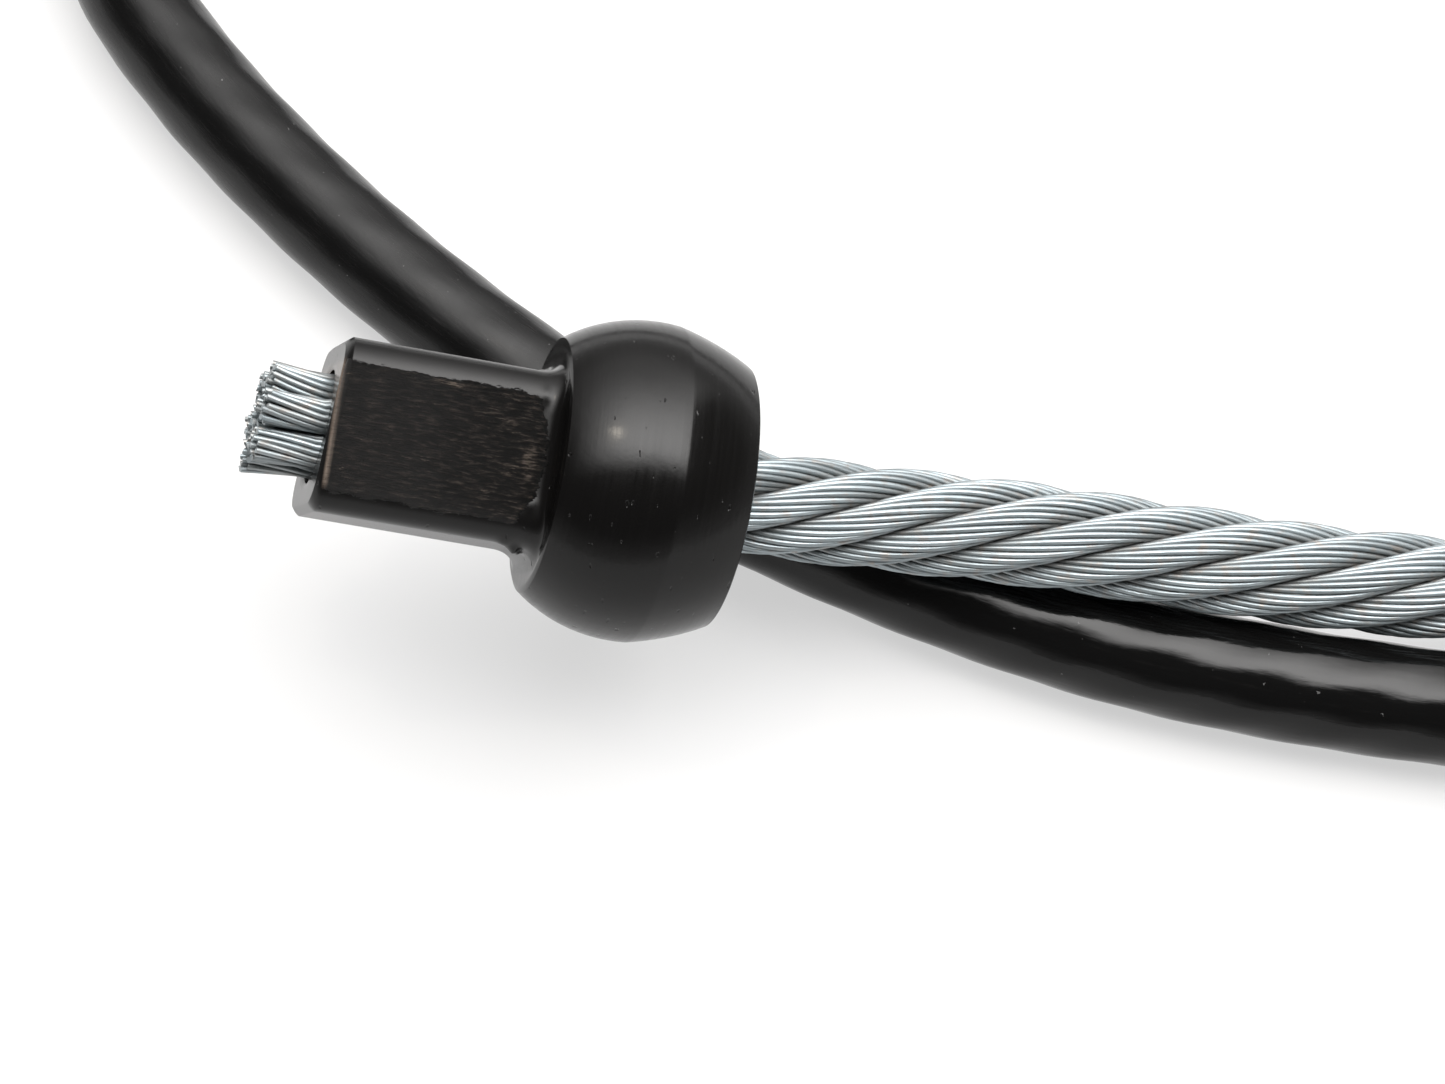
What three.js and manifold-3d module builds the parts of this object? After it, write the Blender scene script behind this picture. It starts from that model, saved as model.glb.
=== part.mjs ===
// Ball-and-shank wire rope terminal with a thimble eye on the far end of its rope.
// Millimetres, +Z up. The assembly lies on the plane z = 0 in one open loop. The bare rope slopes down
// from the ball over the sheathed rope and rests on it, so that the ball and shank stand clear.
import * as THREE from "three";
import { mergeVertices } from "three/addons/utils/BufferGeometryUtils.js";
import Module from "manifold-3d";

// ---- driving dimensions ----
const ROPE_D = 10; // bare six-strand rope
const SHEATH_D = 11.2; // the same rope with its PVC sheath
const LAY_LENGTH = 5.6 * ROPE_D; // one turn of a strand, left-hand
const GAP = 0.3; // between pieces that touch

const BALL_D = 3 * ROPE_D;
const SHANK_FACE = -9.2; // flat of the ball that the shank grows from, along the bore
const ROPE_FACE = 8.6; // flat of the ball that the rope leaves
const SHANK_END = -30;
const SHANK_FLATS = 16.2; // across flats of the square shank
const SHANK_CORNER = 3;
const SHANK_CHAMFER = 0.7;
const FILLET = 2.2; // shank to ball
const COLLAR_INSET = 0.4; // the fillet's collar starts this far inside the flats
const COLLAR_OVERLAP = 0.9; // and ends this far outside them, before the fillet is added
const OVERRUN = 5; // a cutting tool passes this far beyond both faces
const BORE_R = ROPE_D / 2 + GAP;
const TAIL_END = -36.2; // the cut wires stand out of the shank this far

const BALL_HEIGHT = 25; // ball centre above the surface
const BORE_YAW = -1.9; // degrees, the bore's heading from +X
const BORE_PITCH = 15.9; // degrees, the bore's fall towards the rope
const SHANK_ROLL = 26.6; // degrees, turn of the flats about the bore

const STRAND_D = ROPE_D / 3 - GAP;
const STRANDS = 6;
const STRAND_START = 6.3; // degrees, turn of the first strand about the bore
const STRAND_SLOPE = 0.6; // a strand's square end leans this far along the bore
const TAIL_SPREAD = 0.5; // how far the cut strands open out
const TAIL_RAGGED = 0.5; // the cut ends differ by this much either way

const FERRULE_LENGTH = 38;
const FERRULE_WIDTH = 27;
const FERRULE_HEIGHT = 17;
const FERRULE_EDGE = 1.2;
const LEG_OFFSET = ROPE_D / 2 + GAP / 2; // each rope leg from the ferrule's axis
const DEAD_END = 3; // the short leg stands out of the ferrule this far
const STRIPPED = 8; // bare rope between the sheath and the ferrule
const LEAD = 5; // the route's end points are this far apart along their axis
const EYE_R = 19.5; // rope centreline round the thimble's crown
const EYE_CENTRE = FERRULE_LENGTH + 37; // crown's centre from the ferrule's mouth
const THIMBLE_WIDTH = 15.4;
const THIMBLE_WALL = 2.4;
const THIMBLE_LIP = 0.8; // flanges reach this far past the rope's centreline
const FERRULE_MOUTH = new THREE.Vector3(113, -24.5, FERRULE_HEIGHT / 2);
const FERRULE_YAW = -8; // degrees

// The ball's centre is above the point (0, 0) of the places below, and the whole assembly is moved
// by this, so that the origin is below the middle of the rigid pieces.
const ORIGIN_SHIFT = new THREE.Vector3(-88.17, 22.21, 0);

// ---- the rope's route from the ball to the ferrule, laid by hand ----
const BARE_LENGTH = 96; // stripped of its sheath from the ball on
const ROPE_ROUTE = [
  [25, -0.4, 18.5], [38, -1, 16.6], [52, -2.1, 14.5], [66, -3.2, 12.5], [79, -3.4, 10.5],
  [92, -2.2, 8.1], [106, 1.4, 6.2], [120, 7, 5.65], [134.5, 15.8, 5.65], [148, 28.6, 5.65],
  [158, 45, 5.65], [163, 65, 5.65], [162, 86, 5.65], [155, 106, 5.65], [142, 124, 5.65],
  [122, 138, 5.65], [97, 146, 5.65], [60, 149, 5.65], [25, 149.4, 5.65], [-5.1, 149, 5.65],
  [-23.6, 145.7, 5.65], [-39.8, 136.4, 5.65], [-51.9, 122, 5.65], [-58.3, 104.4, 5.65],
  [-58.6, 86, 5.65], [-54.4, 72.4, 5.65], [-47, 60.6, 5.65], [-38.6, 50, 5.65], [-26.6, 37.2, 5.65],
  [-12.1, 24.2, 5.65], [1.6, 14, 5.65], [16, 5.8, 5.65], [31.5, -1.5, 5.65], [46.8, -7.2, 5.65],
  [61.9, -11, 5.65], [76, -13.5, 5.7], [82, -14.4, 6], [88, -15.4, 7.05], [94, -16.4, 8.1],
];

const wasm = await Module();
wasm.setup();

const radians = THREE.MathUtils.degToRad;
const BALL = new THREE.Vector3(0, 0, BALL_HEIGHT);
const BORE_TURN = new THREE.Quaternion().setFromEuler(
  new THREE.Euler(0, radians(BORE_PITCH), radians(BORE_YAW), "ZYX"),
);
const FERRULE_TURN = new THREE.Quaternion().setFromAxisAngle(
  new THREE.Vector3(0, 0, 1),
  radians(FERRULE_YAW),
);

// ---- materials ----
const material = (color, roughness, metalness) =>
  new THREE.MeshStandardMaterial({ color, roughness, metalness });
const blackSteel = () => material(0x0e0d0d, 0.3, 0.5);
const zincWire = () => material(0x9aa3a8, 0.35, 0.9);
const blackPvc = () => material(0x0b0b0c, 0.25, 0);
const zincSheet = () => material(0xb4bac0, 0.4, 0.9);
const aluminium = () => material(0xc3c6c8, 0.45, 0.9);

// ---- solids: closed geometries joined and cut as manifolds ----
function toSolid(geometry) {
  const bare = new THREE.BufferGeometry();
  bare.setAttribute("position", geometry.getAttribute("position"));
  if (geometry.index) bare.setIndex(geometry.index);
  const merged = mergeVertices(bare, 1e-4);
  return new wasm.Manifold(
    new wasm.Mesh({
      numProp: 3,
      vertProperties: merged.attributes.position.array,
      triVerts: new Uint32Array(merged.index.array),
    }),
  );
}

function toGeometry(solid) {
  const mesh = solid.getMesh();
  const geometry = new THREE.BufferGeometry();
  geometry.setAttribute("position", new THREE.BufferAttribute(mesh.vertProperties, 3));
  geometry.setIndex(new THREE.BufferAttribute(mesh.triVerts, 1));
  geometry.computeVertexNormals();
  return geometry;
}

function named(name, geometry, look) {
  const mesh = new THREE.Mesh(geometry, look);
  mesh.name = name;
  return mesh;
}

// A closed round tube along a curve.
function tubeAlong(curve, radius, steps, sides) {
  const section = new THREE.Shape();
  section.absarc(0, 0, radius, 0, 2 * Math.PI);
  return new THREE.ExtrudeGeometry(section, {
    steps,
    curveSegments: sides / 2, // an arc takes two steps for each
    bevelEnabled: false,
    extrudePath: curve,
  });
}

// A solid of revolution about +X, from (x, radius) points that start and end on the axis.
function turned(profile, segments) {
  const points = profile.map(([x, r]) => new THREE.Vector2(r, x));
  return new THREE.LatheGeometry(points, segments).rotateZ(-Math.PI / 2);
}

function cylinderAlongX(radius, from, to, segments) {
  return turned([[from, 0], [from, radius], [to, radius], [to, 0]], segments);
}

// ---- the terminal ----
function ballProfile() {
  const r = BALL_D / 2;
  const from = Math.acos(SHANK_FACE / r);
  const to = Math.acos(ROPE_FACE / r);
  const steps = 14;
  const profile = [[SHANK_FACE, 0]];
  for (let i = 0; i <= steps; i++) {
    const angle = from + ((to - from) * i) / steps;
    profile.push([r * Math.cos(angle), r * Math.sin(angle)]);
  }
  profile.push([ROPE_FACE, 0]);
  return profile;
}

function roundedSquare(size, corner) {
  const half = size / 2;
  const shape = new THREE.Shape();
  shape.absarc(half - corner, half - corner, corner, 0, Math.PI / 2);
  shape.absarc(corner - half, half - corner, corner, Math.PI / 2, Math.PI);
  shape.absarc(corner - half, corner - half, corner, Math.PI, 1.5 * Math.PI);
  shape.absarc(half - corner, corner - half, corner, 1.5 * Math.PI, 2 * Math.PI);
  shape.closePath();
  return shape;
}

function shank() {
  const length = SHANK_FACE - SHANK_END + SHANK_CHAMFER + GAP; // its far end is inside the ball
  const core = SHANK_FLATS - 2 * SHANK_CHAMFER;
  const body = new THREE.ExtrudeGeometry(roundedSquare(core, SHANK_CORNER - SHANK_CHAMFER), {
    depth: length - 2 * SHANK_CHAMFER,
    curveSegments: 4,
    bevelThickness: SHANK_CHAMFER,
    bevelSize: SHANK_CHAMFER,
    bevelSegments: 1,
  });
  return body
    .translate(0, 0, SHANK_CHAMFER)
    .rotateY(Math.PI / 2)
    .translate(SHANK_END, 0, 0);
}

function filletCollar() {
  const flat = SHANK_FLATS / 2;
  const profile = [[SHANK_FACE - FILLET, 0], [SHANK_FACE - FILLET, flat - COLLAR_INSET]];
  const steps = 5;
  for (let i = 0; i <= steps; i++) {
    const angle = (Math.PI / 2) * (i / steps);
    const x = SHANK_FACE - FILLET * (1 - Math.sin(angle));
    const rise = FILLET * (1 - Math.cos(angle)) + COLLAR_OVERLAP * (i / steps);
    profile.push([x, flat + rise]);
  }
  const buried = SHANK_FACE + GAP; // inside the ball
  profile.push([buried, flat + COLLAR_OVERLAP + FILLET], [buried, 0]);
  return turned(profile, 36);
}

function terminal() {
  const solid = toSolid(turned(ballProfile(), 40))
    .add(toSolid(shank()))
    .add(toSolid(filletCollar()))
    .subtract(toSolid(cylinderAlongX(BORE_R, SHANK_END - OVERRUN, ROPE_FACE + OVERRUN, 32)));
  return named("ball_shank_terminal", toGeometry(solid), blackSteel());
}

// ---- the strands gripped in the bore, with their cut ends ----
class StrandCurve extends THREE.Curve {
  constructor(radius, phase, from, to) {
    super();
    Object.assign(this, { radius, phase, from, to });
  }

  getPoint(t, target = new THREE.Vector3()) {
    const x = this.from + (this.to - this.from) * t;
    const open = Math.max(0, (SHANK_END - x) / (SHANK_END - TAIL_END));
    const r = this.radius * (1 + (TAIL_SPREAD * open * open) / (ROPE_D / 3));
    const laid = Math.max(x, SHANK_END); // the cut ends run on straight
    const angle = this.phase - (2 * Math.PI * laid) / LAY_LENGTH;
    return target.set(x, r * Math.cos(angle), r * Math.sin(angle));
  }
}

function strands() {
  const group = new THREE.Group();
  const to = ROPE_FACE - STRAND_SLOPE;
  for (let i = 0; i < STRANDS; i++) {
    const from = TAIL_END + TAIL_RAGGED * (1 + Math.sin(2.4 * i)); // an uneven cut
    const phase = radians(STRAND_START) + (2 * Math.PI * i) / STRANDS;
    const curve = new StrandCurve(ROPE_D / 3, phase, from, to);
    const geometry = tubeAlong(curve, STRAND_D / 2, 10, 8);
    group.add(named(`rope_strand_${i + 1}`, geometry, zincWire()));
  }
  const core = cylinderAlongX(STRAND_D / 2, TAIL_END + TAIL_RAGGED, to, 8);
  group.add(named("rope_core", core, zincWire()));
  return group;
}

function terminalAssembly() {
  const body = new THREE.Group();
  body.rotation.x = radians(SHANK_ROLL);
  body.add(terminal(), strands());
  const group = new THREE.Group();
  group.position.copy(BALL);
  group.quaternion.copy(BORE_TURN);
  group.add(body);
  return group;
}

// ---- the free rope ----
function onBore(x) {
  return new THREE.Vector3(x, 0, 0).applyQuaternion(BORE_TURN).add(BALL);
}

// From ferrule coordinates, along its axis and across it, to the assembly.
function inEye(x, y) {
  return new THREE.Vector3(x, y, 0).applyQuaternion(FERRULE_TURN).add(FERRULE_MOUTH);
}

function route(points) {
  return new THREE.CatmullRomCurve3(points, false, "centripetal");
}

// A stretch of a longer curve, between two lengths along it.
class Stretch extends THREE.Curve {
  constructor(whole, from, to) {
    super();
    Object.assign(this, { whole, from, to });
  }

  getPoint(t, target = new THREE.Vector3()) {
    const along = this.from + (this.to - this.from) * t;
    return this.whole.getPointAt(along / this.whole.getLength(), target);
  }
}

function wholeRope() {
  const curve = route([
    onBore(ROPE_FACE + GAP),
    onBore(ROPE_FACE + LEAD),
    ...ROPE_ROUTE.map((p) => new THREE.Vector3(...p)),
    inEye(-STRIPPED - LEAD - GAP, LEG_OFFSET),
    inEye(-STRIPPED - GAP, LEG_OFFSET),
  ]);
  curve.arcLengthDivisions = 800;
  return curve;
}

function freeRope() {
  const whole = wholeRope();
  const bare = new Stretch(whole, 0, BARE_LENGTH);
  const sheathed = new Stretch(whole, BARE_LENGTH + GAP, whole.getLength());
  const group = new THREE.Group();
  group.add(
    named("bare_rope", tubeAlong(bare, ROPE_D / 2, 10, 12), zincWire()),
    named("sheathed_rope", tubeAlong(sheathed, SHEATH_D / 2, 54, 12), blackPvc()),
  );
  return group;
}

// ---- the thimble eye ----
// Upper half of the eye's centreline, from the ferrule to the crown.
function halfEye() {
  const start = FERRULE_LENGTH + 3;
  const toCentre = Math.hypot(EYE_CENTRE - start, LEG_OFFSET);
  const lean = Math.asin(EYE_R / toCentre) - Math.atan2(LEG_OFFSET, EYE_CENTRE - start);
  const points = [];
  for (const along of [9, 17]) {
    points.push([start + along * Math.cos(lean), LEG_OFFSET + along * Math.sin(lean)]);
  }
  for (let i = 0; i < 5; i++) {
    const angle = (Math.PI / 2 + lean) * (1 - i / 5);
    points.push([EYE_CENTRE + EYE_R * Math.cos(angle), EYE_R * Math.sin(angle)]);
  }
  return points;
}

function eyeCurve(from, to) {
  const half = halfEye();
  const mirrored = half.map(([x, y]) => [x, -y]).reverse();
  const crown = [EYE_CENTRE + EYE_R, 0];
  const inFerrule = (x, side) => [x, side * LEG_OFFSET];
  const straight = [FERRULE_LENGTH / 2, FERRULE_LENGTH - 2, FERRULE_LENGTH + 1];
  const points = [
    inFerrule(from, 1), ...straight.map((x) => inFerrule(x, 1)),
    ...half, crown, ...mirrored,
    ...straight.map((x) => inFerrule(x, -1)).reverse(), inFerrule(to, -1),
  ];
  return route(points.map(([x, y]) => new THREE.Vector3(x, y, 0)));
}

function eyeRope() {
  const curve = eyeCurve(-STRIPPED, -DEAD_END);
  return named("eye_rope", tubeAlong(curve, ROPE_D / 2, 44, 12), zincWire());
}

// A block as thick as the thimble, bounded by the eye's centreline pushed out or in by an offset.
function eyeBlock(offset, height) {
  const curve = eyeCurve(0, 0);
  const shape = new THREE.Shape();
  const steps = 60;
  const points = [];
  for (let i = 0; i <= steps; i++) {
    const p = curve.getPointAt(i / steps);
    const along = curve.getTangentAt(i / steps);
    const x = p.x - along.y * offset;
    const y = p.y + along.x * offset;
    const onItsSide = y * Math.sign(p.y) > 0.4 || p.x > EYE_CENTRE;
    if (p.x > FERRULE_LENGTH + 4 && onItsSide) points.push(new THREE.Vector2(x, y));
  }
  shape.setFromPoints(points);
  const block = new THREE.ExtrudeGeometry(shape, { depth: height, bevelEnabled: false });
  return toSolid(block.translate(0, 0, -height / 2));
}

function thimble() {
  const inward = -(ROPE_D / 2 + GAP + THIMBLE_WALL);
  const groove = tubeAlong(eyeCurve(0, 0), ROPE_D / 2 + GAP, 48, 12);
  const solid = eyeBlock(THIMBLE_LIP, THIMBLE_WIDTH)
    .subtract(eyeBlock(inward, 2 * THIMBLE_WIDTH))
    .subtract(toSolid(groove));
  return named("thimble", toGeometry(solid), zincSheet());
}

function ferrule() {
  const half = FERRULE_HEIGHT / 2 - FERRULE_EDGE;
  const straight = (FERRULE_WIDTH - FERRULE_HEIGHT) / 2;
  const section = new THREE.Shape();
  section.absarc(0, straight, half, 0, Math.PI);
  section.absarc(0, -straight, half, Math.PI, 2 * Math.PI);
  section.closePath();
  const sleeve = new THREE.ExtrudeGeometry(section, {
    depth: FERRULE_LENGTH - 2 * FERRULE_EDGE,
    curveSegments: 6,
    bevelThickness: FERRULE_EDGE,
    bevelSize: FERRULE_EDGE,
    bevelSegments: 2,
  });
  sleeve.translate(0, 0, FERRULE_EDGE).rotateY(Math.PI / 2);
  let solid = toSolid(sleeve);
  for (const side of [1, -1]) {
    const bore = cylinderAlongX(BORE_R, -OVERRUN, FERRULE_LENGTH + OVERRUN, 24);
    solid = solid.subtract(toSolid(bore.translate(0, side * LEG_OFFSET, 0)));
  }
  return named("eye_ferrule", toGeometry(solid), aluminium());
}

function eyeAssembly() {
  const group = new THREE.Group();
  group.position.copy(FERRULE_MOUTH);
  group.quaternion.copy(FERRULE_TURN);
  group.add(ferrule(), eyeRope(), thimble());
  return group;
}

const assembly = new THREE.Group();
assembly.position.copy(ORIGIN_SHIFT);
assembly.add(terminalAssembly(), freeRope(), eyeAssembly());

export default assembly;
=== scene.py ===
import math
import random

import bpy
import numpy as np
from mathutils import Matrix, Vector


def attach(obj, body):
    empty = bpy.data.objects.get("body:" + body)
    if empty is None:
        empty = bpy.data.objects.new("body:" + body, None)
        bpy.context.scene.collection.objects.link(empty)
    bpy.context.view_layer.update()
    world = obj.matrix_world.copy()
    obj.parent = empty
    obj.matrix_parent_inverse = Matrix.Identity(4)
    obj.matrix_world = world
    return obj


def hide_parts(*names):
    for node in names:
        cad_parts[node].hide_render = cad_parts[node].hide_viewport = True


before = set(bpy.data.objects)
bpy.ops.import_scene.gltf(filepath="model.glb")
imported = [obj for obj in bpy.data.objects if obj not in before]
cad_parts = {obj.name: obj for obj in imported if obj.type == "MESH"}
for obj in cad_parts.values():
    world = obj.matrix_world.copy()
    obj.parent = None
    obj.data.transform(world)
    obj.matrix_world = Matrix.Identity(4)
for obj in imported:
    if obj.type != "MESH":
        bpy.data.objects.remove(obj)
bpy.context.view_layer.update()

# Lengths below are in millimetres. Times MM, they are in the frame's unit.
MM = 0.001

# ---- the assembly's driving sizes ----
ROPE_D = 10.0
SHEATH_D = 11.2
LAY = 5.6 * ROPE_D  # one turn of a strand, left-hand
GAP = 0.3

BALL_R = 15.0
SHANK_FACE = -9.2  # flat of the ball that the shank grows from, along the bore
ROPE_FACE = 8.6  # flat of the ball that the rope leaves
SHANK_END = -30.0
SHANK_FLATS = 16.2
SHANK_CORNER = 3.0
SHANK_CHAMFER = 0.7
END_LEAN = 0.07  # the shank's sawn end leans along the bore for each millimetre off its axis
FILLET = 2.2
BORE_R = ROPE_D / 2 + GAP
TAIL_END = -36.2  # the cut wires end about here
STRAND_START = 6.3  # degrees, turn of the first strand about the bore

BALL_HEIGHT = 25.0
BORE_YAW = -1.9  # degrees
BORE_PITCH = 15.9  # degrees
SHANK_ROLL = 26.6  # degrees

FERRULE_LENGTH = 38.0
FERRULE_WIDTH = 27.0
FERRULE_HEIGHT = 17.0
FERRULE_EDGE = 1.6  # radius of its mouths' outer edges
FERRULE_SIDES = 128
LEG_OFFSET = ROPE_D / 2 + GAP / 2
DEAD_END = 3.0  # the rope's cut end stands this far out of the ferrule
STRIPPED = 8.0  # bare rope between the sheath and the ferrule
LEAD = 5.0  # the rope runs straight this far at its fixed ends
EYE_R = 19.5  # to the rope's centreline
EYE_CENTRE = FERRULE_LENGTH + 37.0
THIMBLE_WIDTH = 15.4
THIMBLE_WALL = 2.4
THIMBLE_LIP = 0.8  # the lips reach this far past the rope's centreline
THIMBLE_BEND = 2.6  # radius of the channel's outer corners
THIMBLE_SPLIT = 0.35  # half the gap between the two ends of the channel
FERRULE_MOUTH = (113.0, -24.5, FERRULE_HEIGHT / 2)
FERRULE_YAW = -8.0  # degrees
ORIGIN_SHIFT = (-88.17, 22.21, 0.0)

BARE_LENGTH = 96.0
ROPE_ROUTE = [  # points of the rope's centreline, from the ball to the eye
    (25, -0.4, 18.5), (38, -1, 16.6), (52, -2.1, 14.5), (66, -3.2, 12.5), (79, -3.4, 10.5),
    (92, -2.2, 8.1), (106, 1.4, 6.2), (120, 7, 5.65), (134.5, 15.8, 5.65), (148, 28.6, 5.65),
    (158, 45, 5.65), (163, 65, 5.65), (162, 86, 5.65), (155, 106, 5.65), (142, 124, 5.65),
    (122, 138, 5.65), (97, 146, 5.65), (60, 149, 5.65), (25, 149.4, 5.65), (-5.1, 149, 5.65),
    (-23.6, 145.7, 5.65), (-39.8, 136.4, 5.65), (-51.9, 122, 5.65), (-58.3, 104.4, 5.65),
    (-58.6, 86, 5.65), (-54.4, 72.4, 5.65), (-47, 60.6, 5.65), (-38.6, 50, 5.65),
    (-26.6, 37.2, 5.65), (-12.1, 24.2, 5.65), (1.6, 14, 5.65),
    (16, 5.8, 5.65), (31.5, -1.5, 5.65), (46.8, -7.2, 5.65), (61.9, -11, 5.65), (76, -13.5, 5.7),
    (82, -14.4, 6), (88, -15.4, 7.05), (94, -16.4, 8.1),
]

# ---- wire rope make-up: six strands round a core, each with an outer layer of wires ----
STRANDS = 6
STRAND_PITCH_R = 3.38  # strand centres from the rope's axis
STRAND_R = 1.62
OUTER_WIRES = 14
WIRE_R = 0.287
WIRE_PITCH_R = STRAND_R - WIRE_R
WIRE_LAY = 23.0  # one turn of a wire in its strand, the other way round
ROPE_PHASE = 1.8  # degrees, where the first strand of the bare rope starts
EYE_PHASE = 30.0  # degrees, the same for the eye


# ---- places ----
def turn(yaw=0.0, pitch=0.0, roll=0.0):
    """Rotation by roll about X, then pitch about Y, then yaw about Z, in degrees."""
    z = Matrix.Rotation(math.radians(yaw), 4, "Z")
    y = Matrix.Rotation(math.radians(pitch), 4, "Y")
    return z @ y @ Matrix.Rotation(math.radians(roll), 4, "X")


BALL_PLACE = Matrix.Translation(Vector(ORIGIN_SHIFT) + Vector((0, 0, BALL_HEIGHT)))
BORE_PLACE = BALL_PLACE @ turn(BORE_YAW, BORE_PITCH)
TERMINAL_PLACE = BALL_PLACE @ turn(BORE_YAW, BORE_PITCH, SHANK_ROLL)
EYE_PLACE = Matrix.Translation(Vector(ORIGIN_SHIFT) + Vector(FERRULE_MOUTH)) @ turn(FERRULE_YAW)


def placed(points, place):
    """Points of a sub-part's own frame, in the assembly's frame."""
    turned = np.array(place.to_3x3())
    return np.asarray(points, float) @ turned.T + np.array(place.translation)


# ---- lines ----
def catmull_rom(points, per_span=24):
    """A centripetal Catmull-Rom curve through the points."""
    p = np.asarray(points, float)
    p = np.vstack([2 * p[0] - p[1], p, 2 * p[-1] - p[-2]])
    t = np.linspace(0, 1, per_span, endpoint=False)[:, None]
    line = []
    for a, b, c, d in zip(p, p[1:], p[2:], p[3:]):
        ab, bc, cd = (max(np.linalg.norm(v) ** 0.5, 1e-4) for v in (b - a, c - b, d - c))
        into = ((b - a) / ab - (c - a) / (ab + bc) + (c - b) / bc) * bc
        out = ((c - b) / bc - (d - b) / (bc + cd) + (d - c) / cd) * bc
        cubic = 2 * b - 2 * c + into + out
        square = -3 * b + 3 * c - 2 * into - out
        line.append(((cubic * t + square) * t + into) * t + b)
    return np.vstack([*line, p[-2]])


def lengths(line):
    """The length along a line at each of its points."""
    steps = np.linalg.norm(np.diff(line, axis=0), axis=1)
    return np.concatenate([[0], np.cumsum(steps)])


def stretch(line, start, end, step):
    """The line from one length along it to another, at even steps, and those lengths."""
    along = lengths(line)
    at = np.linspace(start, end, max(2, round((end - start) / step) + 1))
    return np.stack([np.interp(at, along, line[:, i]) for i in range(3)], axis=1), at


def unit(v):
    return v / np.linalg.norm(v, axis=-1, keepdims=True)


def frames(line, first):
    """Tangents and two normals that follow a line without twisting, from a first normal."""
    tangents = unit(np.gradient(line, axis=0))
    normals = np.empty_like(line)
    normal = np.asarray(first, float)
    for i, tangent in enumerate(tangents):
        normal = normal - tangent * normal.dot(tangent)
        normal /= np.linalg.norm(normal)
        normals[i] = normal
    return tangents, normals, np.cross(tangents, normals)


# ---- meshes ----
class Loft:
    """Gathers rings of points into one mesh, with a pattern vector for each point."""

    def __init__(self):
        self.points, self.faces, self.patterns, self.count = [], [], [], 0

    def add(self, rings, patterns, caps=True, loop=False):
        """rings and patterns are arrays of ring, point round it, and three numbers."""
        n, m = rings.shape[:2]
        index = np.arange(n * m).reshape(n, m) + self.count
        if loop:
            index = np.vstack([index, index[:1]])
        low, high = index[:-1], index[1:]
        quads = np.stack([low, np.roll(low, -1, 1), np.roll(high, -1, 1), high], axis=-1)
        self.faces.extend(quads.reshape(-1, 4).tolist())
        if caps and not loop:
            self.faces.append(index[0][::-1].tolist())
            self.faces.append(index[-1].tolist())
        self.points.append(rings.reshape(-1, 3))
        self.patterns.append(np.broadcast_to(patterns, rings.shape).reshape(-1, 3))
        self.count += n * m

    def piece(self, name, material, slot, sharp=40.0):
        """The mesh as an object that rides on the body."""
        mesh = bpy.data.meshes.new(name)
        mesh.from_pydata((np.vstack(self.points) * MM).tolist(), [], self.faces)
        pattern = mesh.attributes.new("pattern", "FLOAT_VECTOR", "POINT")
        pattern.data.foreach_set("vector", np.vstack(self.patterns).astype(np.float32).ravel())
        mesh.validate()
        mesh.shade_smooth()
        mesh.set_sharp_from_angle(angle=math.radians(sharp))
        mesh.materials.append(material)
        piece = bpy.data.objects.new(name, mesh)
        bpy.context.scene.collection.objects.link(piece)
        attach(piece, "root")
        return piece


def around(count):
    """Angles evenly round a circle."""
    return np.linspace(0, 2 * np.pi, count, endpoint=False)


def tube_rings(line, normals, sides, radius):
    """Round rings along a line, which start at the normals."""
    tangents = unit(np.gradient(line, axis=0))
    first = unit(normals - tangents * (normals * tangents).sum(1, keepdims=True))
    second = np.cross(tangents, first)
    angle = around(sides)[None, :, None]
    return line[:, None] + (first[:, None] * np.cos(angle) + second[:, None] * np.sin(angle)) * radius


def jitter(seed, along, size, wavelength):
    """A slow random wander along a line, the same on each run."""
    draw = random.Random(seed)
    total = np.zeros_like(along)
    for octave in (1.0, 2.3, 4.1):
        phase = draw.uniform(0, 2 * math.pi)
        total += np.sin(along * octave * 2 * math.pi / wavelength + phase) / octave
    return total * size / 2


# ---- materials ----
def new_material(name):
    material = bpy.data.materials.new(name)
    material.use_nodes = True
    tree = material.node_tree
    return material, Nodes(tree), tree.nodes["Principled BSDF"]


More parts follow.
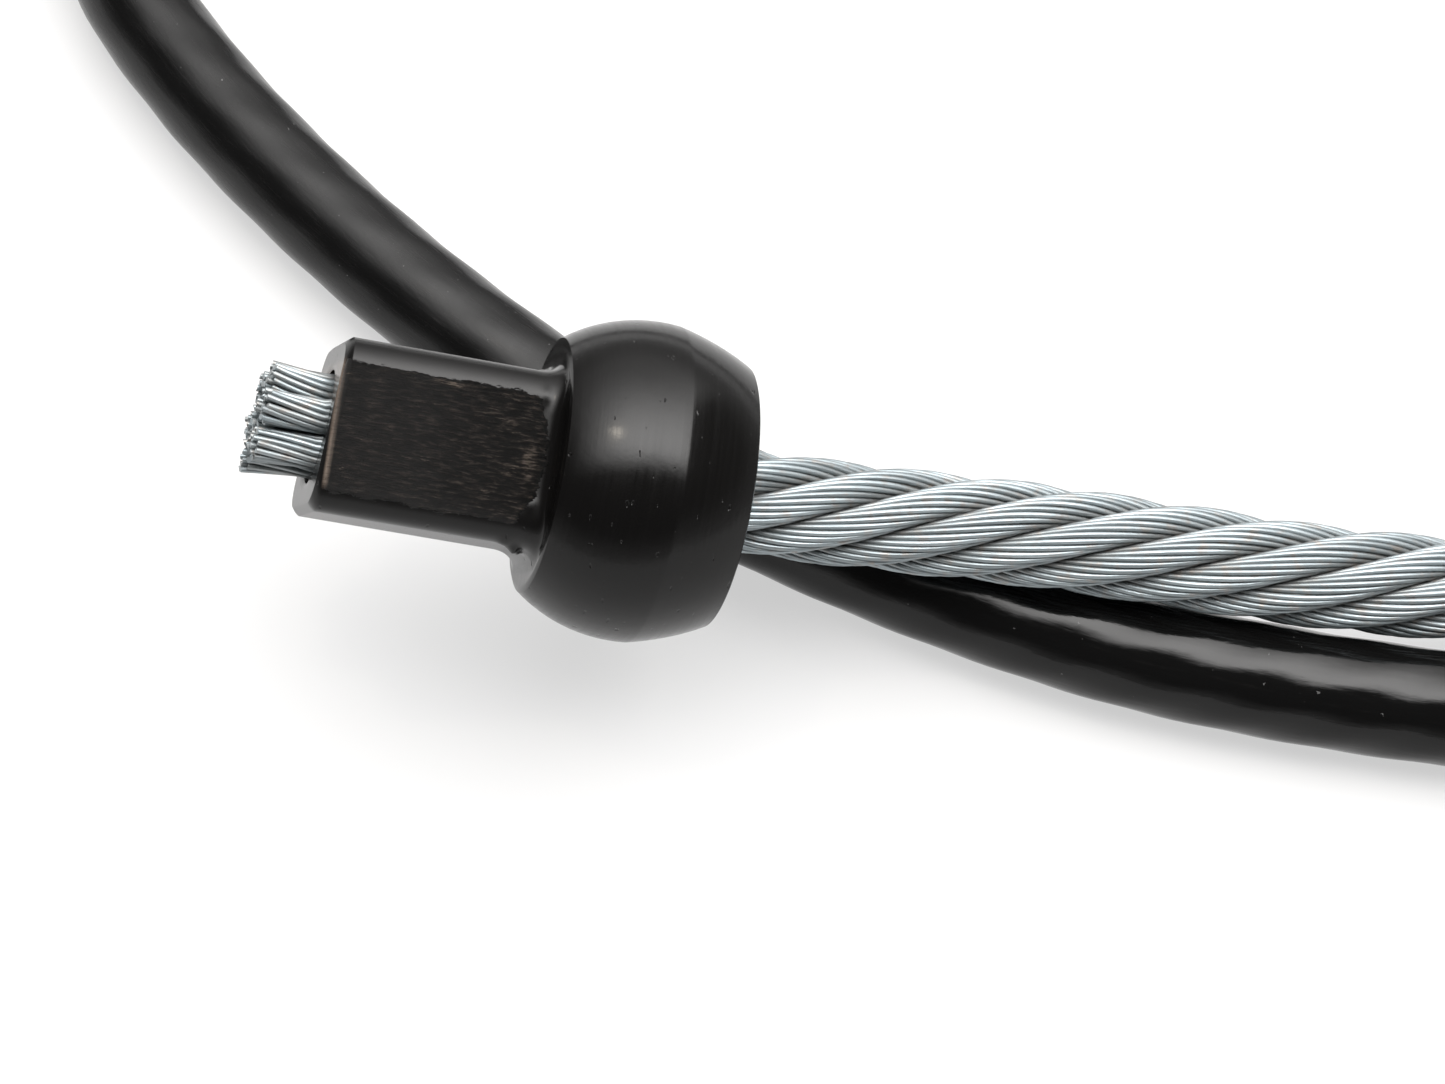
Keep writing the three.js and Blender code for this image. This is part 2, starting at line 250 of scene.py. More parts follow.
class Nodes:
    """Short calls for the shader nodes of one material."""

    def __init__(self, tree):
        self.tree = tree

    def make(self, kind, **settings):
        node = self.tree.nodes.new(kind)
        for name, value in settings.items():
            setattr(node, name, value)
        return node

    def put(self, socket, value):
        if isinstance(value, bpy.types.NodeSocket):
            self.tree.links.new(value, socket)
        else:
            socket.default_value = value

    def pattern(self):
        node = self.make("ShaderNodeAttribute", attribute_name="pattern")
        return node.outputs["Vector"]

    def place(self):
        return self.make("ShaderNodeTexCoord").outputs["Object"]

    def split(self, vector):
        node = self.make("ShaderNodeSeparateXYZ")
        self.put(node.inputs[0], vector)
        return node.outputs

    def math(self, operation, a, b=0.0):
        node = self.make("ShaderNodeMath", operation=operation)
        self.put(node.inputs[0], a)
        self.put(node.inputs[1], b)
        return node.outputs[0]

    def plus(self, a, b):
        return self.math("ADD", a, b)

    def times(self, first, *others):
        for other in others:
            first = self.math("MULTIPLY", first, other)
        return first

    def size(self, value):
        return self.math("ABSOLUTE", value)

    def scaled(self, vector, scale):
        node = self.make("ShaderNodeMapping", vector_type="POINT")
        self.put(node.inputs["Vector"], vector)
        node.inputs["Scale"].default_value = scale
        return node.outputs[0]

    def noise(self, vector, scale, detail=4.0, roughness=0.55):
        node = self.make("ShaderNodeTexNoise")
        self.put(node.inputs["Vector"], vector)
        node.inputs["Scale"].default_value = scale
        node.inputs["Detail"].default_value = detail
        node.inputs["Roughness"].default_value = roughness
        return node.outputs[0]

    def ramp(self, value, low, high, to_low=0.0, to_high=1.0):
        """Goes smoothly from to_low to to_high as the value goes from low to high."""
        node = self.make("ShaderNodeMapRange", clamp=True, interpolation_type="SMOOTHSTEP")
        self.put(node.inputs["Value"], value)
        limits = {"From Min": low, "From Max": high, "To Min": to_low, "To Max": to_high}
        for name, number in limits.items():
            node.inputs[name].default_value = number
        return node.outputs[0]

    def blob(self, place, centre, half):
        """1 inside an ellipsoid and 0 outside it, with a soft edge."""
        node = self.make("ShaderNodeMapping", vector_type="TEXTURE")
        self.put(node.inputs["Vector"], place)
        node.inputs["Location"].default_value = centre
        node.inputs["Scale"].default_value = half
        length = self.make("ShaderNodeVectorMath", operation="LENGTH")
        self.put(length.inputs[0], node.outputs[0])
        return self.ramp(length.outputs["Value"], 1.0, 0.55)

    def mix(self, factor, a, b):
        """One colour into another."""
        node = self.make("ShaderNodeMix", data_type="RGBA")
        self.put(node.inputs["Factor"], factor)
        self.put(node.inputs["A"], a)
        self.put(node.inputs["B"], b)
        return node.outputs["Result"]

    def blend(self, factor, a, b):
        """One number into another."""
        node = self.make("ShaderNodeMix", data_type="FLOAT")
        self.put(node.inputs[0], factor)
        self.put(node.inputs[2], a)
        self.put(node.inputs[3], b)
        return node.outputs[0]

    def bump(self, height, depth_mm, strength=1.0, normal=None):
        node = self.make("ShaderNodeBump")
        self.put(node.inputs["Height"], height)
        node.inputs["Distance"].default_value = depth_mm * MM
        node.inputs["Strength"].default_value = strength
        if normal is not None:
            self.put(node.inputs["Normal"], normal)
        return node.outputs[0]


def grey(value, tint=(1.0, 1.0, 1.0)):
    return (value * tint[0], value * tint[1], value * tint[2], 1.0)


WARM = (1.06, 1.0, 0.97)
RUST = (1.25, 1.0, 0.82)
ZINC = (0.88, 1.0, 1.05)

SCRAPED_MIDDLE = -0.35  # the scraped part of each flat is centred here
SCRAPED_HALF = 5.9
SCRAPED_STOP = -10.25  # it stops here along the bore
BARE_SPOTS = [  # (centre, half sizes) of rubbed patches, in the shank's own millimetres
    ((-11.6, -0.6, 8.1), (0.8, 2.0, 1.0)),
    ((-19.8, 5.3, 8.1), (1.9, 0.3, 1.0)),
]


def scraped_area(n, local):
    """1 where the press scraped the two flats, and 0 elsewhere, with a ragged border."""
    x, y, z = n.split(local)
    ragged = n.noise(n.scaled(local, (0.3, 1.2, 0.6)), 1.0, 7.0, 0.8)
    wander = n.times(n.math("SUBTRACT", ragged, 0.5), 2.4)
    off_middle = n.plus(n.size(n.plus(y, -SCRAPED_MIDDLE)), wander)
    inside = n.ramp(off_middle, SCRAPED_HALF + 0.1, SCRAPED_HALF - 0.1)
    round_stop = n.plus(n.plus(n.times(y, y, 0.05), x), wander)
    before_ball = n.ramp(round_stop, SCRAPED_STOP + 0.15, SCRAPED_STOP - 0.15)
    after_end = n.ramp(x, SHANK_END + 0.3, SHANK_END + 0.7)
    on_flat = n.ramp(n.size(z), SHANK_FLATS / 2 - 0.5, SHANK_FLATS / 2 - 0.35)
    return n.times(inside, before_ball, after_end, on_flat)


def scraped_colour(n, local, streaks, blotches, gouged):
    """Dark brown with lighter ridges, and bare metal in a few spots."""
    ridges = n.times(n.ramp(streaks, 0.48, 0.75), gouged)
    dark = n.mix(ridges, grey(0.0008, WARM), grey(0.07, RUST))
    bare = n.times(n.ramp(blotches, 0.62, 0.70), n.ramp(streaks, 0.5, 0.6))
    for spot in BARE_SPOTS:
        rubbed = n.times(n.blob(local, *spot), n.ramp(streaks, 0.44, 0.6))
        bare = n.math("MAXIMUM", bare, rubbed)
    return n.mix(bare, dark, grey(0.075, RUST))


def worn_edge(n, local, streaks):
    """1 along the shank's end edges beside the flats, where the paint is rubbed off."""
    x, y, _ = n.split(local)
    after = n.ramp(x, SHANK_END + 0.02, SHANK_END + 0.3)
    before = n.ramp(x, SHANK_END + 0.75, SHANK_END + 0.35)
    middle = n.ramp(n.size(y), 6.3, 5.2)
    return n.times(before, after, middle, n.ramp(streaks, 0.3, 0.55, 0.3, 0.8))


def paint_skin(n, local, turning):
    """Orange peel, turning marks and small nicks in the paint."""
    peel = n.noise(local, 0.55, 3.0)
    nicks = n.ramp(n.noise(n.scaled(local, (2.2, 0.9, 0.9)), 0.8, 1.0), 0.72, 0.78)
    skin = n.bump(peel, 0.05, 0.35)
    skin = n.bump(turning, 0.018, 0.35, skin)
    return n.bump(n.math("SUBTRACT", 1.0, nicks), 0.12, 0.7, skin)


def black_paint():
    """Glossy black over turned steel, with the shank's two pressed flats scraped back to brown."""
    material, n, shader = new_material("black_paint")
    local = n.pattern()
    x = n.split(local)[0]
    scraped = scraped_area(n, local)
    streaks = n.noise(n.scaled(local, (0.55, 3.0, 1.0)), 1.0, 7.0, 0.8)
    blotches = n.noise(n.scaled(local, (0.5, 1.3, 1.0)), 0.8, 3.0)
    gouged = n.ramp(n.plus(x, n.times(blotches, 8.0)), -18.0, -8.5, 0.35, 1.0)  # more by the ball

    brown = scraped_colour(n, local, streaks, blotches, gouged)
    colour = n.mix(scraped, grey(0.0025, WARM), brown)
    colour = n.mix(worn_edge(n, local, streaks), colour, grey(0.10, RUST))
    n.put(shader.inputs["Base Color"], colour)

    on_ball = n.ramp(x, SHANK_FACE - 1.5, SHANK_FACE)
    turning = n.times(n.noise(n.scaled(local, (2.2, 0.05, 0.05)), 1.0, 4.0, 0.7), on_ball)
    gloss = n.blend(on_ball, 0.27, n.ramp(turning, 0.3, 0.7, 0.15, 0.23))
    cut_gloss = n.ramp(streaks, 0.35, 0.65, 0.30, 0.46)
    n.put(shader.inputs["Roughness"], n.blend(scraped, gloss, cut_gloss))
    shader.inputs["Specular IOR Level"].default_value = 0.23

    scores = n.noise(n.scaled(local, (0.5, 6.0, 1.0)), 1.0, 5.0, 0.8)
    cut = n.times(n.plus(scores, n.times(streaks, 2.0)), scraped, gouged)
    n.put(shader.inputs["Normal"], n.bump(cut, 0.5, 1.0, paint_skin(n, local, turning)))
    return material


def zinc_wire():
    """Drawn, galvanised wire. Each wire has its own tone, and painted shade, tinted brown, darkens the
    wires where they face in between the other wires.
    """
    material, n, shader = new_material("zinc_wire")
    _, tone, depth = n.split(n.pattern())
    drawn = n.noise(n.scaled(n.pattern(), (0.35, 40.0, 0.0)), 1.0, 4.0, 0.65)
    stain = n.noise(n.place(), 900.0, 3.0)
    bright = n.mix(tone, grey(0.24, ZINC), grey(0.39, ZINC))
    bright = n.mix(n.ramp(drawn, 0.35, 0.75, 0.0, 0.45), bright, grey(0.20, ZINC))
    bright = n.mix(n.ramp(stain, 0.5, 0.75, 0.0, 0.5), bright, grey(0.22, RUST))
    # painted shade between the wires: as depth (the pattern's last number) falls, on the wires' inner
    # sides and on the cores, the colour goes toward a dark brown grey
    colour = n.mix(n.ramp(depth, 0.2, 0.9, 0.5, 0.0), bright, grey(0.12, RUST))
    n.put(shader.inputs["Base Color"], colour)
    shader.inputs["Metallic"].default_value = 0.75
    n.put(shader.inputs["Roughness"], n.ramp(drawn, 0.3, 0.75, 0.38, 0.52))
    n.put(shader.inputs["Normal"], n.bump(drawn, 0.012, 0.5))
    return material


PVC_RUBBED = (590.0, 650.0)  # along the rope, it turns glossy before it crosses the bare rope


def black_pvc():
    """Extruded glossy PVC. Faint drawn lines run along it, with a little lint and scuffing."""
    material, n, shader = new_material("black_pvc")
    along = n.split(n.pattern())[0]
    lines = n.noise(n.scaled(n.pattern(), (0.03, 7.0, 1.0)), 1.0, 4.0, 0.6)
    ripple = n.noise(n.scaled(n.pattern(), (0.22, 1.1, 1.0)), 1.0, 4.0, 0.6)
    scuff = n.noise(n.scaled(n.pattern(), (0.12, 1.5, 1.0)), 2.0, 5.0, 0.7)
    dust = n.noise(n.place(), 1500.0, 2.0)
    colour = n.mix(n.ramp(scuff, 0.55, 0.8, 0.0, 0.5), grey(0.0025), grey(0.007, WARM))
    colour = n.mix(n.ramp(dust, 0.74, 0.78, 0.0, 0.6), colour, grey(0.10))
    n.put(shader.inputs["Base Color"], colour)
    rubbed = n.ramp(along, *PVC_RUBBED)
    dull = n.ramp(scuff, 0.35, 0.8, 0.20, 0.34)
    n.put(shader.inputs["Roughness"], n.blend(rubbed, dull, n.ramp(scuff, 0.35, 0.8, 0.09, 0.16)))
    skin = n.bump(ripple, 0.07, 0.35)
    n.put(shader.inputs["Normal"], n.bump(lines, 0.008, 0.3, skin))
    shader.inputs["Specular IOR Level"].default_value = 0.25
    return material


def zinc_sheet():
    """Hot-dip zinc on pressed steel: soft spangle, duller patches and a fine grain."""
    material, n, shader = new_material("zinc_sheet")
    spangle = n.make("ShaderNodeTexVoronoi")
    n.put(spangle.inputs["Vector"], n.place())
    spangle.inputs["Scale"].default_value = 260.0
    cells = n.split(spangle.outputs["Color"])[0]
    patches = n.noise(n.place(), 160.0, 4.0)
    grain = n.noise(n.place(), 2200.0, 3.0)
    colour = n.mix(cells, grey(0.24, ZINC), grey(0.34, ZINC))
    colour = n.mix(n.ramp(patches, 0.45, 0.75, 0.0, 0.6), colour, grey(0.17, ZINC))
    n.put(shader.inputs["Base Color"], colour)
    shader.inputs["Metallic"].default_value = 1.0
    rough = n.plus(n.ramp(patches, 0.3, 0.7, 0.28, 0.46), n.times(cells, 0.08))
    n.put(shader.inputs["Roughness"], rough)
    n.put(shader.inputs["Normal"], n.bump(grain, 0.03, 0.5, n.bump(patches, 0.12, 0.4)))
    return material


def aluminium():
    """A swaged sleeve: satin aluminium with scratches along the press's travel."""
    material, n, shader = new_material("aluminium")
    local = n.pattern()
    brushed = n.noise(n.scaled(local, (0.25, 4.0, 4.0)), 1.0, 5.0, 0.7)
    dull = n.noise(local, 0.25, 4.0)
    scratch = n.noise(n.scaled(local, (3.0, 0.5, 0.5)), 1.4, 6.0, 0.8)
    colour = n.mix(n.ramp(dull, 0.4, 0.7), grey(0.36), grey(0.27))
    colour = n.mix(n.ramp(scratch, 0.62, 0.72, 0.0, 0.5), colour, grey(0.18))
    n.put(shader.inputs["Base Color"], colour)
    shader.inputs["Metallic"].default_value = 1.0
    n.put(shader.inputs["Roughness"], n.ramp(brushed, 0.3, 0.7, 0.30, 0.48))
    skin = n.bump(brushed, 0.03, 0.5)
    n.put(shader.inputs["Normal"], n.bump(scratch, 0.05, 0.35, skin))
    return material


# ---- camera ----
CAMERA_ELEVATION = 60.0  # degrees above the horizon, looking along +Y
CAMERA_DISTANCE = 400.0
CAMERA_RIGHT = 8.117  # the view's axis passes this far from the ball's centre
CAMERA_DOWN = 5.637
CAMERA_LENS = 107.16
SENSOR = 36.0


def make_camera():
    tilt = math.radians(90.0 - CAMERA_ELEVATION)
    facing = Matrix.Rotation(tilt, 4, "X")
    offset = facing @ Vector((CAMERA_RIGHT, -CAMERA_DOWN, CAMERA_DISTANCE))
    data = bpy.data.cameras.new("camera")
    data.lens = CAMERA_LENS
    data.sensor_width = SENSOR
    data.clip_start = 0.01
    data.clip_end = 20.0
    camera = bpy.data.objects.new("camera", data)
    camera.matrix_world = Matrix.Translation((BALL_PLACE.translation + offset) * MM) @ facing
    bpy.context.scene.collection.objects.link(camera)
    bpy.context.scene.camera = camera


# ---- the free rope ----
SHADED_CORE = np.zeros(3)  # the pattern of a core that shows only between wires; it gets the wire material's full painted shade


def on_bore(x):
    return BORE_PLACE @ Vector((x, 0, 0))


def in_eye(x, y):
    return EYE_PLACE @ Vector((x, y, 0))


def rope_line():
    """The rope's centreline from the ball's face to the end of its sheath at the eye."""
    laid = [Vector(p) + Vector(ORIGIN_SHIFT) for p in ROPE_ROUTE]
    ends = [in_eye(-STRIPPED - LEAD - GAP, LEG_OFFSET), in_eye(-STRIPPED - GAP, LEG_OFFSET)]
    return catmull_rom([on_bore(ROPE_FACE + GAP), on_bore(ROPE_FACE + LEAD), *laid, *ends])


def add_wires(loft, line, along, normals, sides, seed, phase):
    """Six strands of round wires along a line, and the core that they lie on."""
    tangents = unit(np.gradient(line, axis=0))
    binormals = np.cross(tangents, normals)
    draw = random.Random(seed)
    for strand in range(STRANDS):
        angle = math.radians(phase) + 2 * np.pi * (strand / STRANDS - along / LAY)
        radial = normals * np.cos(angle)[:, None] + binormals * np.sin(angle)[:, None]
        lift = STRAND_PITCH_R + jitter(draw.random(), along, 0.04, 60.0)
        centre = line + radial * lift[:, None]
        forward = unit(np.gradient(centre, axis=0))
        out = unit(radial - forward * (radial * forward).sum(1, keepdims=True))
        loft.add(tube_rings(centre, out, 8, WIRE_PITCH_R - 0.1), SHADED_CORE)
        add_strand_wires(loft, centre, out, np.cross(forward, out), along, sides, draw)
    loft.add(tube_rings(line, normals, 10, STRAND_PITCH_R - 1.0), SHADED_CORE)


def add_strand_wires(loft, centre, out, side, along, sides, draw):
    """The outer wires of one strand, each with a tone of its own."""
    start = draw.uniform(0, 2 * math.pi)
    for wire in range(OUTER_WIRES):
        angle = start + 2 * np.pi * (wire / OUTER_WIRES + along / WIRE_LAY)
        angle = angle + jitter(draw.random(), along, 0.05, 40.0)
        outward = out * np.cos(angle)[:, None] + side * np.sin(angle)[:, None]
        reach = WIRE_PITCH_R + jitter(draw.random(), along, 0.025, 25.0)
        rings = tube_rings(centre + outward * reach[:, None], outward, sides, WIRE_R)
        # 1 where a wire lies on its strand's outer side and 0 on its inner side; the wire material
        # paints shade from this
        exposed = 0.5 + 0.5 * np.cos(angle)
        loft.add(rings, wire_pattern(rings, along, draw.random(), exposed[:, None]))


def wire_pattern(rings, along, tone, exposed):
    """What the wire's material reads: a length that differs between wires, tone, and how far the wire
    faces out, which sets its painted shade.
    """
    pattern = np.empty(rings.shape)
    pattern[..., 0] = along[:, None] + 500 * tone
    pattern[..., 1] = tone
    pattern[..., 2] = exposed
    return pattern


def bare_rope(line, wire):
    """Runs from just inside the ball's bore to just inside the sheath."""
    hidden = 2.0
    start = np.array(on_bore(ROPE_FACE + GAP - hidden))[None]
    path, along = stretch(np.vstack([start, line]), 0, BARE_LENGTH + 2 * hidden, 0.9)
    first = TERMINAL_PLACE.to_3x3() @ Vector((0, 1, 0))
    normals = frames(path, first)[1]
    loft = Loft()
    add_wires(loft, path, along + ROPE_FACE + GAP - hidden, normals, 8, 11, ROPE_PHASE)
    piece = loft.piece("bare_rope_wires", wire, "zinc_wire", sharp=50.0)
    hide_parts("bare_rope")


SHEATH_SIDES = 60
SHEATH_STEP = 1.5
SHEATH_MARK = 0.10  # how far the strands below raise the sheath
SHEATH_BORE_R = 5.15
SHEATH_OPEN = 9.0  # depth of the open ends


def open_end(path, bore):
    """Rings from an end's rim down its bore to a closed floor."""
    depth = round(SHEATH_OPEN / SHEATH_STEP)
    floor = np.broadcast_to(path[depth], bore[:1].shape)
    return np.concatenate([bore[:depth + 1], floor])


def sheathed_rope(line, pvc):
    """The sheath, marked by the strands below it, with both cut ends open round the rope."""
    total = lengths(line)[-1]
    path, along = stretch(line, BARE_LENGTH + GAP, total, SHEATH_STEP)
    _, normals, binormals = frames(path, (0, 0, 1))
    angle = around(SHEATH_SIDES)
    lobes = np.cos(STRANDS * (angle + 2 * np.pi * along[:, None] / LAY))
    wander = jitter(3, along, 0.012, 90.0)[:, None]
    radius = SHEATH_D / 2 - 0.04 + SHEATH_MARK * (lobes - 1) / 2 + wander
    cosine, sine = np.cos(angle)[:, None], np.sin(angle)[:, None]
    ring = normals[:, None] * cosine + binormals[:, None] * sine
    outer = path[:, None] + ring * radius[..., None]
    bore = path[:, None] + ring * SHEATH_BORE_R
    pattern = np.empty(outer.shape)
    pattern[..., 0] = along[:, None]
    pattern[..., 1:] = np.hstack([cosine, sine]) * SHEATH_D / 2

    before = open_end(path, bore)[::-1]
    after = open_end(path[::-1], bore[::-1])
    rings = np.concatenate([before, outer, after])
    marks = np.concatenate([pattern[:len(before)], pattern, pattern[-len(after):]])
    loft = Loft()
    loft.add(rings, marks, caps=False)
    piece = loft.piece("rope_sheath", pvc, "black_pvc", sharp=50.0)
    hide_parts("sheathed_rope")


# ---- the ball and shank ----
TERMINAL_SIDES = 192
FACET = 1.5  # a second turning cut meets the ball here, along the bore
FACET_DROP = 0.22
BALL_EDGE_R = math.sqrt(BALL_R**2 - SHANK_FACE**2)  # where the shank's flat cuts the ball
BALL_RIM_R = math.sqrt(BALL_R**2 - ROPE_FACE**2)  # where the rope's flat cuts it
BURRS = [  # (x, y, z, size, height) of raised crumbs, in the shank's own millimetres
    (-10.9, 8.6, 2.6, 0.45, 0.5), (-10.3, 8.7, 1.5, 0.35, 0.4), (-9.9, 8.9, 0.4, 0.3, 0.25),
    (-11.3, -8.0, 4.6, 0.6, 0.9), (-10.7, -8.3, 3.4, 0.45, 0.6), (-12.3, -7.6, 5.6, 0.5, 0.4),
    (-11.0, 5.6, 7.9, 0.4, 0.2), (-10.9, -4.4, 7.9, 0.45, 0.25),
]


def square_radius(angle, half, corner):
    """Distance from the axis to a rounded square's outline, at each angle round it."""
    c, s = np.abs(np.cos(angle)), np.abs(np.sin(angle))
    big, small = np.maximum(c, s), np.minimum(c, s)
    flat = half / big
    inner = half - corner
    along = inner * (big + small)
    rounded = along + np.sqrt(np.maximum(along**2 - 2 * inner**2 + corner**2, 0))
    return np.where(flat * small <= inner, flat, rounded)


def ball_radius(x):
    """The ball's radius at x, a little lower past the second cut."""
    past = max(0.0, x - FACET) / (ROPE_FACE - FACET)
    return math.sqrt(BALL_R**2 - x**2) - FACET_DROP * 4 * past * (1 - past)


def shank_rings(full, mouth, trimmed):
    """From just inside the bore, over the sawn end and its chamfer, to the fillet's foot."""
    rings = [(SHANK_END + 0.5, mouth), (SHANK_END + 0.12, mouth + 0.05), (SHANK_END, mouth + 0.3)]
    rings += [(SHANK_END, mouth + (trimmed - mouth) * t) for t in (0.35, 0.7, 0.96)]
    for t in np.linspace(0, 1, 6):
        bulge = 0.12 * math.sin(math.pi * t)
        rings.append((SHANK_END + SHANK_CHAMFER * t, trimmed + (full - trimmed) * (t + bulge)))
    straight = np.linspace(SHANK_END + SHANK_CHAMFER, SHANK_FACE - FILLET, 46)[1:]
    return rings + [(x, full) for x in straight]


def fillet_rings(full):
    """Up the fillet, and out across the flat that the shank grows from."""
    room = np.minimum(FILLET, BALL_EDGE_R - 0.6 - full)
    rings = []
    for t in np.linspace(0, 1, 13)[1:]:
        rise = 1 - math.sqrt(max(0.0, 1 - t * t))
        rings.append((SHANK_FACE - FILLET * (1 - t), full + room * rise))
    root = full + room
    return rings + [(SHANK_FACE, root + (BALL_EDGE_R - 0.35 - root) * t) for t in (0.3, 0.6, 0.85)]


def ball_rings():
    """Over the ball, down the flat that the rope leaves, and into the bore."""
    before = np.linspace(SHANK_FACE + 0.18, FACET - 0.06, 40)
    past = np.linspace(FACET + 0.06, ROPE_FACE - 0.12, 26)
    return [
        (SHANK_FACE + 0.02, BALL_EDGE_R - 0.22),
        *((x, ball_radius(x)) for x in (*before, *past)),
        (ROPE_FACE - 0.03, BALL_RIM_R - 0.12), (ROPE_FACE, BALL_RIM_R - 0.3),
        (ROPE_FACE, BALL_RIM_R - 2.5), (ROPE_FACE, BORE_R + 0.9),
        (ROPE_FACE - 0.25, BORE_R + 0.3), (ROPE_FACE - 0.8, BORE_R),
        *((x, BORE_R) for x in np.linspace(ROPE_FACE - 3, SHANK_END + 2, 8)),
    ]


def terminal_rings(angle):
    """Rings from the bore's far end, over the outside, and back down the bore: x, y and z."""
    half = SHANK_FLATS / 2
    full = square_radius(angle, half, SHANK_CORNER)
    trimmed = square_radius(angle, half - SHANK_CHAMFER, SHANK_CORNER - SHANK_CHAMFER * 0.6)
    mouth = np.full(TERMINAL_SIDES, BORE_R)
    rings = [*shank_rings(full, mouth, trimmed), *fillet_rings(full), *ball_rings()]
    x = np.array([[x] * TERMINAL_SIDES for x, _ in rings])
    radius = np.array([np.broadcast_to(radius, TERMINAL_SIDES) for _, radius in rings])
    return np.stack([x, radius * np.cos(angle), radius * np.sin(angle)], axis=-1)


def terminal(paint):
    """One skin over the shank and the ball, and down the bore, with the sawn end leaning."""
    local = terminal_rings(around(TERMINAL_SIDES))
    near_end = np.clip((SHANK_END + 6 - local[..., 0]) / 6, 0, 1)
    local[..., 0] += END_LEAN * local[..., 1] * near_end
    local = burred(local)
    loft = Loft()
    loft.add(placed(local, TERMINAL_PLACE).reshape(local.shape), local, loop=True)
    piece = loft.piece("ball_and_shank", paint, "black_steel", sharp=28.0)
    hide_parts("ball_shank_terminal")


def burred(local):
    """Raised crumbs of metal where the flats' press stopped, at the fillet's foot."""
    outward = unit(local * np.array((0.0, 1.0, 1.0)) + 1e-9)
    for x, y, z, size, height in BURRS:
        reach = np.array((size, size * 1.6, size * 1.6))
        near = np.exp(-(((local - np.array((x, y, z))) / reach) ** 2).sum(-1, keepdims=True))
        local = local + outward * near * height
    return local


# ---- the cut strands in the shank ----
MIDDLE_WIRES = 9
TAIL_INSIDE = 6.0  # wires are modelled this far into the bore
TAIL_LAY = 52.0  # the cut wires have sprung straighter than in the rope
CUT_LEAN_Y = 0.10  # the cut leans along the bore for each millimetre off its axis
CUT_LEAN_Z = 0.02
AXIS = np.array((1.0, 0.0, 0.0))


def past_end(x):
    """0 at the shank's end and 1 at the mean cut."""
    return np.clip((SHANK_END - x) / (SHANK_END - TAIL_END), 0, 1.3)


def tail_wire(loft, centre_of, offset, reach, draw, end):
    """One cut wire, from inside the bore to its sheared end."""
    tone = draw.random()
    x = np.linspace(SHANK_END + TAIL_INSIDE, end, 16)
    out = past_end(x)
    bend_y, bend_z = draw.uniform(-0.16, 0.16), draw.uniform(-0.16, 0.16)
    centre, radial, side = centre_of(x)
    angle = offset - 2 * np.pi * (SHANK_END - x) / TAIL_LAY
    outward = radial * np.cos(angle)[:, None] + side * np.sin(angle)[:, None]
    path = centre + outward * (reach * (1 + 0.06 * out**2))[:, None]
    path[:, 1] += bend_y * out**2
    path[:, 2] += bend_z * out**2
    rings = tube_rings(path, outward + 1e-6, 8, WIRE_R)
    shear = draw.uniform(-0.5, 0.5)
    across = (rings[-1] - path[-1]) @ np.array((0.0, math.cos(offset), math.sin(offset)))
    rings[-1, :, 0] += across * shear
    unshaded_share = draw.uniform(0.45, 0.9)  # drawn at random: how far this cut wire stays out of the painted shade that darkens wires lying between others
    loft.add(rings, wire_pattern(rings, x, tone, unshaded_share))


def strand_path(strand):
    """A strand's centre, its direction from the bore's axis, and the direction round the bore."""
    def centre_of(x):
        laid = np.maximum(x, SHANK_END)  # the cut ends run on straight
        angle = math.radians(STRAND_START) + 2 * np.pi * (strand / STRANDS - laid / LAY)
        radial = np.stack([np.zeros_like(x), np.cos(angle), np.sin(angle)], axis=1)
        centre = radial * (STRAND_PITCH_R + 0.45 * past_end(x) ** 2)[:, None]
        centre[:, 0] = x
        return centre, radial, np.cross(AXIS, radial)
    return centre_of


def core_path(x):
    """The same for the core strand, which runs along the bore's axis."""
    centre = AXIS * x[:, None]
    radial = np.broadcast_to(np.array((0.0, 1.0, 0.0)), centre.shape)
    return centre, radial, np.cross(AXIS, radial)


def strand_tail(name, centre_of, node, wire, seed):
    """A strand's cut wires, and the plain bundle that the bore grips."""
    draw = random.Random(seed)
    loft = Loft()
    tip = centre_of(np.array([TAIL_END]))[0][0]
    mean_end = TAIL_END + CUT_LEAN_Y * tip[1] + CUT_LEAN_Z * tip[2]
    layers = [(1, 0.0), (MIDDLE_WIRES, WIRE_PITCH_R * 0.54), (OUTER_WIRES, WIRE_PITCH_R)]
    for count, reach in layers:
        start = draw.uniform(0, 2 * math.pi)
        for i in range(count):
            end = mean_end + draw.uniform(0.15, 0.85)
            tail_wire(loft, centre_of, start + 2 * math.pi * i / count, reach, draw, end)
    gripped = np.linspace(SHANK_END + TAIL_INSIDE - 0.5, ROPE_FACE - 2.5, 24)
    centre, radial, _ = centre_of(gripped)
    # the pattern's last number 0 gives the gripped bundle the wire material's full painted shade
    loft.add(tube_rings(centre, radial, 12, STRAND_R - 0.05), np.array((0.0, 0.4, 0.0)))
    loft.points = [placed(p, TERMINAL_PLACE) for p in loft.points]
    piece = loft.piece(name, wire, "zinc_wire", sharp=50.0)
    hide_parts(node)


def tails(wire):
    for strand in range(STRANDS):
        name, node = f"strand_tail_{strand + 1}", f"rope_strand_{strand + 1}"
        strand_tail(name, strand_path(strand), node, wire, 40 + strand)
    strand_tail("core_tail", core_path, "rope_core", wire, 60)


# ---- the thimble eye ----
def half_eye():
    """Points of the eye's centreline from the ferrule to the crown, where it is tangent to the arc."""
    start = FERRULE_LENGTH + 3
    to_centre = math.hypot(EYE_CENTRE - start, LEG_OFFSET)
    lean = math.asin(EYE_R / to_centre) - math.atan2(LEG_OFFSET, EYE_CENTRE - start)
    points = [(start + a * math.cos(lean), LEG_OFFSET + a * math.sin(lean)) for a in (9, 17)]
    for i in range(5):
        angle = (math.pi / 2 + lean) * (1 - i / 5)
        points.append((EYE_CENTRE + EYE_R * math.cos(angle), EYE_R * math.sin(angle)))
    return points


